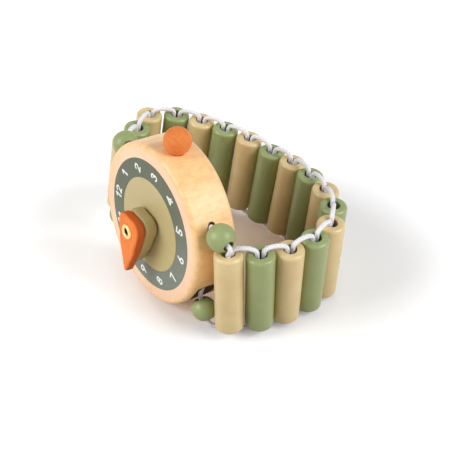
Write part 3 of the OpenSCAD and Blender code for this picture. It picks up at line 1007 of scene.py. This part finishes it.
@dataclass
class Rivet:
    """The hollow brass rivet with its two rolled ends, and the washer."""
    places: Places
    bore_d: float = 2.0
    tube_d: float = 3.4
    flange_d: float = 4.4
    top: float = 13.8
    bed: float = -5.7
    washer_low: float = 6.7
    washer_d: float = 7.0
    washer_t: float = 0.4
    washer_lip: float = 0.08
    washer_sharp: float = 25.0
    fit: float = 0.05
    turns: int = 96
    sharp: float = 50.0

    def build(self) -> None:
        """Makes the rivet and the washer."""
        axes = self.places.case_axes()
        inner, tube = self.bore_d / 2, self.tube_d / 2
        half = (self.flange_d - self.bore_d) / 4
        middle = inner + half
        outline = [(inner, z) for z in np.linspace(self.top, self.bed, 12)]
        outline += arc((middle, self.bed), half, 180, 360, 16)[1:]
        outline += [(tube, z) for z in np.linspace(self.bed, self.top, 12)]
        outline += arc((middle, self.top), half, 0, 180, 16)[:-1]
        rivet = lathe("brass_rivet", outline, axes, self.turns)
        shade_by_angle(rivet, self.sharp)
        dress(rivet, BRASS.material(), "case_body", "rivet_brass", "rivet")
        self.washer(axes)

    def washer(self, axes: Matrix) -> None:
        """Makes the washer under the hands.

        Args:
            axes: The case's axes.
        """
        low, lip = self.washer_low, self.washer_lip
        top = low + self.washer_t
        inner, outer = self.tube_d / 2 + self.fit, self.washer_d / 2
        ring = [(inner, low), (outer - lip, low), (outer, low + lip), (outer, top - lip),
                (outer - lip, top), (inner, top)]
        washer = lathe("brass_washer", ring, axes, self.turns)
        shade_by_angle(washer, self.washer_sharp)
        dress(washer, replace(BRASS, name="washer_brass", bore_mm=0.1).material(), "case_body",
              "rivet_brass", "washer")


def ball_outline(radius: float, bore: float, lip: float = 0.25) -> Outline:
    """Draws the half section of a drilled ball with eased bore mouths.

    Args:
        radius: The ball's radius in millimetres.
        bore: The bore's radius in millimetres.
        lip: The easing of the bore's mouths.

    Returns:
        Points (radius, height), anticlockwise.
    """
    edge = math.asin((bore + lip) / radius)
    skin = [(radius * math.sin(a), -radius * math.cos(a))
            for a in np.linspace(edge, math.pi - edge, 41)]
    depth = math.sqrt(radius ** 2 - (bore + lip) ** 2)
    inner = [(bore + lip * 0.35, depth - lip * 0.12), (bore + lip * 0.05, depth - lip * 0.5),
             (bore, depth - lip)]
    hole = [(bore, z) for z in np.linspace(depth - lip, lip - depth, 8)]
    return skin + inner + hole[1:-1] + [(r, -z) for r, z in reversed(inner)]


@dataclass
class Crown:
    """The glued ball on the rim at 3 o'clock."""
    places: Places
    radius: float = CROWN_R
    rim: float = CASE_R
    centre_y: float = CROWN_Y
    front: float = CROWN_FRONT
    glue_r: float = 0.17
    glue_swing: float = 0.05
    glue_lift: float = 0.02
    glue_waves: tuple[int, ...] = (2, 5, 9, 14)
    glue_seed: int = 7
    turns: int = 96

    def build(self) -> None:
        """Makes the ball and the glue at its foot."""
        axes = self.places.case_axes()
        turn = Matrix.Rotation(math.radians(-90), 4, "X")
        place = axes @ Matrix.Translation((0, self.centre_y * MM, self.front * MM)) @ turn
        skin = [(max(0.02, self.radius * math.sin(a)), -self.radius * math.cos(a))
                for a in np.linspace(0, math.pi, 49)]
        ball = lathe("crown_ball", skin, place, self.turns)
        dress(ball, CROWN_STAIN.material(), "case_body", "orange_wood", "crown")
        self.glue(axes @ Matrix.Translation((0, 0, self.front * MM)))

    def glue(self, axes: Matrix, count: int = 96, sides: int = 10) -> None:
        """Makes the bead of glue squeezed out round the crown's foot.

        Args:
            axes: The case's axes, moved forward to the crown.
            count: Sections round the foot.
            sides: Points in each section.
        """
        dice = np.random.default_rng(self.glue_seed)
        around = np.arange(count) * 2 * np.pi / count
        lumps = sum(dice.uniform(0.3, 1.0) * np.cos(around * k + dice.uniform(0, 6.3))
                    for k in self.glue_waves)
        most, usual = 2.2, 1.6
        size = self.glue_r + self.glue_swing * np.clip(lumps, -most, most) / usual
        foot = math.sqrt(self.radius ** 2 - (self.centre_y - self.rim) ** 2) + 0.05
        up = np.array([0, 1, 0])
        points = []
        for a, radius in zip(around, size):
            out = np.array([math.cos(a), 0, math.sin(a)])
            level = math.sqrt(self.rim ** 2 - (foot * out[0]) ** 2) + self.glue_lift
            for b in np.arange(sides) * 2 * np.pi / sides:
                points.append(out * foot + up * level
                              + (out * math.cos(b) + up * math.sin(b)) * radius)
        piece = mesh_piece("crown_glue", np.array(points), closed_grid(count, sides), axes)
        dress(piece, GLUE.material(), "case_body", "orange_wood")


# The strap

@dataclass
class Bead:
    """One tube bead with rounded ends."""
    places: Places
    number: int
    radius: float = 4.0
    length: float = 26.0
    bore: float = 1.8
    edge: float = 1.0
    lip: float = 0.35
    grain_step: float = 17.3

    @property
    def node(self) -> str:
        """The CAD node's name."""
        return f"bead_{self.number:02d}"

    @property
    def wood(self) -> Wood:
        """The bead's paint: odd beads are tan."""
        return Wood.TAN if self.number % 2 else Wood.GREEN

    def build(self) -> None:
        """Makes and paints the bead."""
        middle, axis = self.places.turned(self.node)
        half = self.length / 2
        bore_wall = [(self.bore, z) for z in np.linspace(half - self.lip, self.lip - half, 14)]
        low = arc((self.bore + self.lip, self.lip - half), self.lip, 180, 270, 4)[1:]
        low += arc((self.radius - self.edge, self.edge - half), self.edge, -90, 0, 10)
        side = [(self.radius, z) for z in np.linspace(self.edge - half, half - self.edge, 12)[1:-1]]
        top = arc((self.radius - self.edge, half - self.edge), self.edge, 0, 90, 10)
        top += arc((self.bore + self.lip, half - self.lip), self.lip, 90, 180, 4)[:-1]
        piece = lathe(f"tube_{self.number:02d}", bore_wall + low + side + top,
                      upright(middle, axis))
        paint = replace(PAINTS[self.wood], name=f"{self.wood.value}_paint_{self.number:02d}",
                        shift=self.number * self.grain_step)
        dress(piece, paint.material(), f"link_{self.number:02d}", f"{self.wood.value}_wood",
              self.node)


@dataclass
class CordBall:
    """One small ball threaded between the case and the strap."""
    places: Places
    node: str
    body: str
    radius: float
    shift: float
    bore: float = 1.5

    def build(self) -> None:
        """Makes and paints the ball, its bore along the CAD ball's."""
        centre = self.places.ball(self.node, self.radius)
        axis = self.bore_axis(self.places.points(self.node) - np.array(centre))
        piece = lathe(self.node.replace("_ball", "_sphere"), ball_outline(self.radius, self.bore),
                      upright(centre, axis))
        paint = replace(GREEN, name=self.node + "_paint", bore_mm=self.bore, rough=0.42, grain=0.3,
                        shift=self.shift, coat=0.12)
        dress(piece, paint.material(), self.body, "green_wood", self.node)

    @staticmethod
    def bore_axis(points: np.ndarray, tries: int = 4000) -> Vector:
        """Finds the direction in which the ball's vertices leave a bore open.

        Args:
            points: The CAD ball's vertices about its centre, in metres.
            tries: How many directions, spread evenly over the upper half, are tried.

        Returns:
            The bore's axis.
        """
        best, choice = 0.0, Vector((0, 0, 1))
        units = points / np.linalg.norm(points, axis=1, keepdims=True)
        for k in range(tries):
            z = 1 - (k + 0.5) / tries
            flat, a = math.sqrt(1 - z * z), k * GOLDEN_ANGLE
            way = np.array([flat * math.cos(a), flat * math.sin(a), z])
            gap = 1 - np.abs(units @ way).max()
            if gap > best:
                best, choice = gap, Vector(way)
        return choice


@dataclass
class CordLoop:
    """One closed loop of the knitted cord, with its plaits in the mesh.

    The mesh is fine round bends and coarse where the route has a step longer than long_from.
    """
    places: Places
    number: int
    body: str
    radius: float = 0.68
    relief: float = 0.045
    plaits: int = 4
    lay: float = 1.3
    sides: int = 16
    fine: float = 0.17
    coarse: float = 1.2
    long_from: float = 4.0

    def points(self) -> np.ndarray:
        """Returns the points that the loop follows, in millimetres."""
        raise NotImplementedError

    def smooth_route(self) -> tuple[np.ndarray, np.ndarray]:
        """Runs a smooth closed curve through the points.

        Returns:
            Its places and unit tangents, close together but where the loop runs straight.
        """
        route = self.points()
        steps = np.roll(route, -1, axis=0) - route
        lengths = np.linalg.norm(steps, axis=1)
        ways = steps / lengths[:, None]
        tangents = ways + np.roll(ways, 1, axis=0)
        straight = lengths > self.long_from
        tangents[straight] = ways[straight]
        ended = np.roll(straight, 1)
        tangents[ended] = np.roll(ways, 1, axis=0)[ended]
        tangents /= np.linalg.norm(tangents, axis=1, keepdims=True)
        run = []
        for k in range(len(route)):
            count = max(2, math.ceil(lengths[k] / (self.coarse if straight[k] else self.fine)))
            t = np.linspace(0, 1, count, endpoint=False)[:, None]
            pull = lengths[k]
            after = (k + 1) % len(route)
            run.append((2 * t ** 3 - 3 * t ** 2 + 1) * route[k]
                       + (t ** 3 - 2 * t ** 2 + t) * pull * tangents[k]
                       + (3 * t ** 2 - 2 * t ** 3) * route[after]
                       + (t ** 3 - t ** 2) * pull * tangents[after])
        places = np.vstack(run)
        along = np.roll(places, -1, axis=0) - np.roll(places, 1, axis=0)
        return places, along / np.linalg.norm(along, axis=1, keepdims=True)

    def build(self, material: bpy.types.Material) -> None:
        """Sweeps the plaited round along the route.

        Args:
            material: The elastic's material, shared by all the loops.
        """
        places, tangents = self.smooth_route()
        plane = np.cross(places - places[0], np.roll(places, -1, axis=0) - places[0]).sum(axis=0)
        plane /= np.linalg.norm(plane)
        out = np.cross(tangents, plane)
        out /= np.linalg.norm(out, axis=1, keepdims=True)
        over = np.cross(tangents, out)
        run = np.r_[0, np.cumsum(np.linalg.norm(np.diff(places, axis=0), axis=1))][:, None]
        turn = np.linspace(0, 2 * np.pi, self.sides, endpoint=False)[None, :]
        wave = 2 * np.pi * run / self.lay
        depth = np.maximum(np.cos(self.plaits * turn + wave), np.cos(self.plaits * turn - wave))
        depth = np.clip(0.5 + 0.5 * depth, 0, 1)
        size = self.radius * (1 - self.relief * 2 * (1 - depth))
        ring = (out[:, None, :] * np.cos(turn)[..., None]
                + over[:, None, :] * np.sin(turn)[..., None])
        skin = places[:, None, :] + ring * size[..., None]
        centre = places.mean(axis=0)
        piece = mesh_piece(f"elastic_{self.number:02d}", (skin - centre).reshape(-1, 3),
                           closed_grid(len(places), self.sides),
                           Matrix.Translation(Vector(centre) * MM))
        plait = piece.data.attributes.new(PLAIT, "FLOAT", "POINT")
        plait.data.foreach_set("value", depth.ravel().astype(np.float32))
        dress(piece, material, self.body, "elastic", f"cord_{self.number:02d}")


@dataclass
class LinkLoop(CordLoop):
    """The loop over two neighbouring beads: a strand in each, joined by two arches."""
    half: float = 13.0
    strand_off: float = 0.95
    rise_top: float = 1.7
    rise_low: float = 1.0
    full_top: float = 0.75
    full_low: float = 0.45
    slope: float = 0.2
    arch_points: int = 9

    def arch(self, start: np.ndarray, end: np.ndarray, rise: float, fullness: float,
             away: np.ndarray) -> np.ndarray:
        """Draws one arch of the loop.

        Args:
            start: Where the arch leaves the first bead.
            end: Where it enters the second bead.
            rise: How far it stands off the beads' ends.
            fullness: The power that rounds its shoulders.
            away: The direction in which it stands off.

        Returns:
            The points along the arch.
        """
        turn = np.linspace(0, np.pi, self.arch_points)[:, None]
        high = rise + abs(float((end - start) @ away)) * self.slope
        lift = np.maximum(np.sin(turn), 0) ** fullness
        return start * (1 + np.cos(turn)) / 2 + end * (1 - np.cos(turn)) / 2 + away * high * lift

    def points(self) -> np.ndarray:
        """Lays the loop over its two beads.

        Returns:
            The points that it follows, in millimetres.
        """
        beads = [self.places.turned(f"bead_{self.number + k:02d}") for k in (0, 1)]
        middles = [np.array(middle) / MM for middle, _ in beads]
        axes = [np.array(axis) for _, axis in beads]
        apart = middles[1] - middles[0]
        ends = {}
        for k, way in ((0, apart), (1, -apart)):
            across = way - axes[k] * (way @ axes[k])
            across = across / np.linalg.norm(across) * self.strand_off
            for up in (1, -1):
                ends[k, up] = middles[k] + across + axes[k] * (up * self.half)
        away = (axes[0] + axes[1]) / np.linalg.norm(axes[0] + axes[1])
        return np.vstack([self.arch(ends[0, 1], ends[1, 1], self.rise_top, self.full_top, away),
                          self.arch(ends[1, -1], ends[0, -1], self.rise_low, self.full_low, -away)])


@dataclass
class EndLoop(CordLoop):
    """The loop from the case through two balls and the bead beside them."""
    route: Sequence[tuple[float, float, float]] = ()

    def points(self) -> np.ndarray:
        """Returns the points that the loop follows, in millimetres."""
        return np.array(self.route)


NEAR_ROUTE = (
    (26.59, -16.95, 27.7), (26.61, -16.93, 28.61), (26.57, -16.92, 30), (26.55, -16.93, 31.58),
    (26.61, -16.94, 33.03), (26.85, -16.96, 34.07), (27.32, -16.96, 34.37),
    (35.19, -16.94, 32.34), (35.55, -16.90, 31.82), (35.35, -16.84, 31.12),
    (34.92, -16.76, 30.45), (34.50, -16.67, 29.9), (34.20, -16.61, 29.45), (34.07, -16.58, 29.13),
    (33.17, -15.67, 3.16), (32.99, -15.69, 2.59), (32.56, -15.79, 2.28), (31.95, -15.98, 2.15),
    (31.26, -16.24, 2.15), (30.56, -16.58, 2.2), (29.93, -17, 2.23), (29.45, -17.43, 2.27),
    (29.04, -17.86, 2.38), (28.67, -18.26, 2.57), (28.33, -18.59, 2.86), (28.01, -18.82, 3.26),
    (27.67, -18.91, 3.77), (24.7, -18.96, 8.76), (24.14, -18.9, 9.77), (23.86, -18.74, 10.53),
    (23.8, -18.51, 11.27), (23.91, -18.26, 12.19), (24.14, -18.01, 13.52), (24.43, -17.81, 15.46),
    (24.77, -17.65, 17.74), (25.14, -17.51, 19.73), (25.51, -17.38, 21.58),
    (25.89, -17.25, 23.43), (26.25, -17.11, 25.43),
)
FAR_ROUTE = (
    (-13.86, -16.32, 36.8), (-13.93, -16.18, 38.09), (-14.52, -16.02, 38.44),
    (-15.44, -15.85, 38.16), (-16.52, -15.67, 37.54), (-17.56, -15.49, 36.86),
    (-18.39, -15.3, 36.44), (-23.86, -13.78, 34.79), (-24.24, -13.61, 34.68),
    (-24.56, -13.35, 34.56), (-24.81, -13.07, 34.42), (-25.02, -12.81, 34.22),
    (-25.17, -12.62, 33.95), (-25.28, -12.55, 33.57), (-30.47, -13.22, 8.1),
    (-30.46, -13.27, 7.66), (-30.25, -13.38, 7.33), (-29.91, -13.54, 7.1), (-29.49, -13.75, 6.93),
    (-29.03, -13.99, 6.81), (-28.59, -14.27, 6.73), (-27.32, -15.21, 6.63), (-26.17, -16.1, 6.83),
    (-25.12, -16.88, 7.3), (-24.1, -17.51, 8.02), (-23.08, -17.95, 8.97), (-22.01, -18.14, 10.13),
    (-17.8, -18.35, 14.86), (-17.26, -18.29, 15.9), (-16.87, -18.11, 17.45),
    (-16.6, -17.85, 19.23), (-16.42, -17.59, 20.98), (-16.31, -17.37, 22.42),
    (-16.23, -17.26, 23.29), (-15.86, -17.09, 25.8), (-15.46, -16.93, 28),
    (-15.05, -16.79, 30.04), (-14.63, -16.65, 32.09), (-14.23, -16.49, 34.29),
)


# Stage

@dataclass(frozen=True)
class Lamp:
    """A soft lamp so far off that it lights the floor evenly."""
    name: str
    way: tuple[float, float, float]
    power: float
    angle: float = 40.0

    def build(self) -> None:
        """Places the lamp in its direction, turned towards the watch."""
        light = bpy.data.lights.new(self.name, "SUN")
        light.angle = math.radians(self.angle)
        light.energy = self.power
        lamp = bpy.data.objects.new(self.name, light)
        bpy.context.scene.collection.objects.link(lamp)
        lamp.location = self.way
        lamp.rotation_euler = (-Vector(self.way)).to_track_quat("-Z", "Y").to_euler()


@dataclass(frozen=True)
class PaleFloor(Finish):
    """A matt pale floor, whiter to the camera than to the watch.

    It sends less light back close to the watch, and a faint glow lifts the shadow. The spans tell
    where that gives way to the open floor, by millimetres from the middle and along left.
    """
    white: Colour = (0.985, 0.965, 0.955)
    bounce_near: Colour = (0.40, 0.34, 0.30)
    bounce_far: Colour = (0.92, 0.85, 0.80)
    glow_near: Colour = (0.12, 0.065, 0.03)
    glow_beside: Colour = (0.12, 0.13, 0.15)
    glow_far: Colour = (0.34, 0.35, 0.36)
    left: tuple[float, float, float] = (-0.57, -0.82, 0.0)
    left_span: Span = (8.0, 38.0)
    beside_span: Span = (20.0, 38.0)
    far_span: Span = (48.0, 90.0)

    def apply(self, s: Shader) -> None:
        """Finishes the floor.

        Args:
            s: The shader of its material.
        """
        seen = s.seen()
        apart = s.far_from_axis()
        left = s.along_line(self.left).smooth(*self.left_span)
        open_floor = 1 - (1 - left) * (1 - apart.smooth(*self.far_span))
        bounce = s.mix(open_floor, self.bounce_near, self.bounce_far)
        glow = s.mix(apart.smooth(*self.beside_span), self.glow_near, self.glow_beside)
        glow = s.mix(open_floor, glow, self.glow_far)
        s.finish(Base_Color=s.mix(seen, bounce, self.white), Roughness=0.9,
                 Specular_IOR_Level=0.0, Emission_Strength=1.0,
                 Emission_Color=s.mix(seen, (0.0, 0.0, 0.0), glow))


@dataclass
class Stage:
    """The floor, the world, the lamps and the camera."""
    camera_at: tuple[float, float, float] = (0.223286, -0.149208, 0.201007)
    camera_turn: tuple[float, float, float] = (54.752, 0.040, 54.910)
    focal_px: float = 1102.77
    frame_px: float = 457.0
    sensor_mm: float = 36.0
    clip_start: float = 0.01
    lamps: tuple[Lamp, ...] = (Lamp("front_box", (-0.26, -0.83, 0.50), 2.02),
                               Lamp("right_box", (0.71, 0.43, 0.56), 2.22))
    fill: float = 0.245
    floor_half: float = 2500.0

    def build(self) -> None:
        """Makes the floor, world, lamps and camera."""
        self.floor()
        self.world()
        for lamp in self.lamps:
            lamp.build()
        self.camera()
        bpy.context.scene.view_settings.view_transform = "Standard"

    def camera(self) -> None:
        """Sets the camera at the photo's viewing angle."""
        camera = bpy.data.objects.new("camera", bpy.data.cameras.new("camera"))
        bpy.context.scene.collection.objects.link(camera)
        camera.location = self.camera_at
        camera.rotation_euler = [math.radians(a) for a in self.camera_turn]
        camera.data.sensor_width = self.sensor_mm
        camera.data.lens = self.sensor_mm * self.focal_px / self.frame_px
        camera.data.clip_start = self.clip_start
        bpy.context.scene.camera = camera

    def floor(self) -> None:
        """Lays the floor."""
        half = self.floor_half
        corners = np.array([(-half, -half, 0), (half, -half, 0), (half, half, 0), (-half, half, 0)])
        floor = mesh_piece("floor", corners, [(0, 1, 2, 3)], Matrix.Identity(4))
        coat(floor, PaleFloor("floor").material())

    def world(self) -> None:
        """Sets an even world, white where it is seen and lower for the light that it sheds."""
        world = bpy.data.worlds.new("world")
        bpy.context.scene.world = world
        s = Shader(world, "Background")
        s.finish(Color=(1.0, 1.0, 1.0), Strength=s.seen() * (1 - self.fill) + self.fill)


def strap(places: Places) -> None:
    """Builds the beads, the cord balls and the cord.

    Args:
        places: Where things lie.
    """
    for number in range(1, BEADS + 1):
        Bead(places, number).build()
    for node, body, radius, shift in (("near_top_ball", "link_01", 3.9, 40.3),
                                      ("near_low_ball", "link_01", 3.5, 40.3),
                                      ("far_top_ball", "link_17", 3.9, 37.2),
                                      ("far_low_ball", "link_17", 3.5, 37.2)):
        CordBall(places, node, body, radius, shift).build()
    elastic = ELASTIC.material()
    EndLoop(places, 0, "link_01", route=NEAR_ROUTE).build(elastic)
    for number in range(1, BEADS):
        carrier = number + 1 if number < BACK_BEAD else number
        LinkLoop(places, number, f"link_{carrier:02d}").build(elastic)
    EndLoop(places, BEADS, "link_17", route=FAR_ROUTE).build(elastic)


def main() -> None:
    """Builds the stage and every sub-assembly in order."""
    logging.basicConfig(level=logging.INFO, format="%(message)s")
    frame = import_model()
    places = Places(frame)
    Stage().build()
    Case(places).build()
    Dial(places).build()
    Hand(places, "hour_hand", "hour_hand", "tan_wood", HOUR_STAIN, low=7.15, thick=3.7, reach=12.6,
         past_nine=2.5).build()
    Hand(places, "minute_hand", "minute_hand", "orange_wood", ORANGE_STAIN, low=10.95, thick=2.8,
         reach=14.0, past_nine=-2.0).build()
    Rivet(places).build()
    Crown(places).build()
    strap(places)


if __name__ == "__main__":
    main()
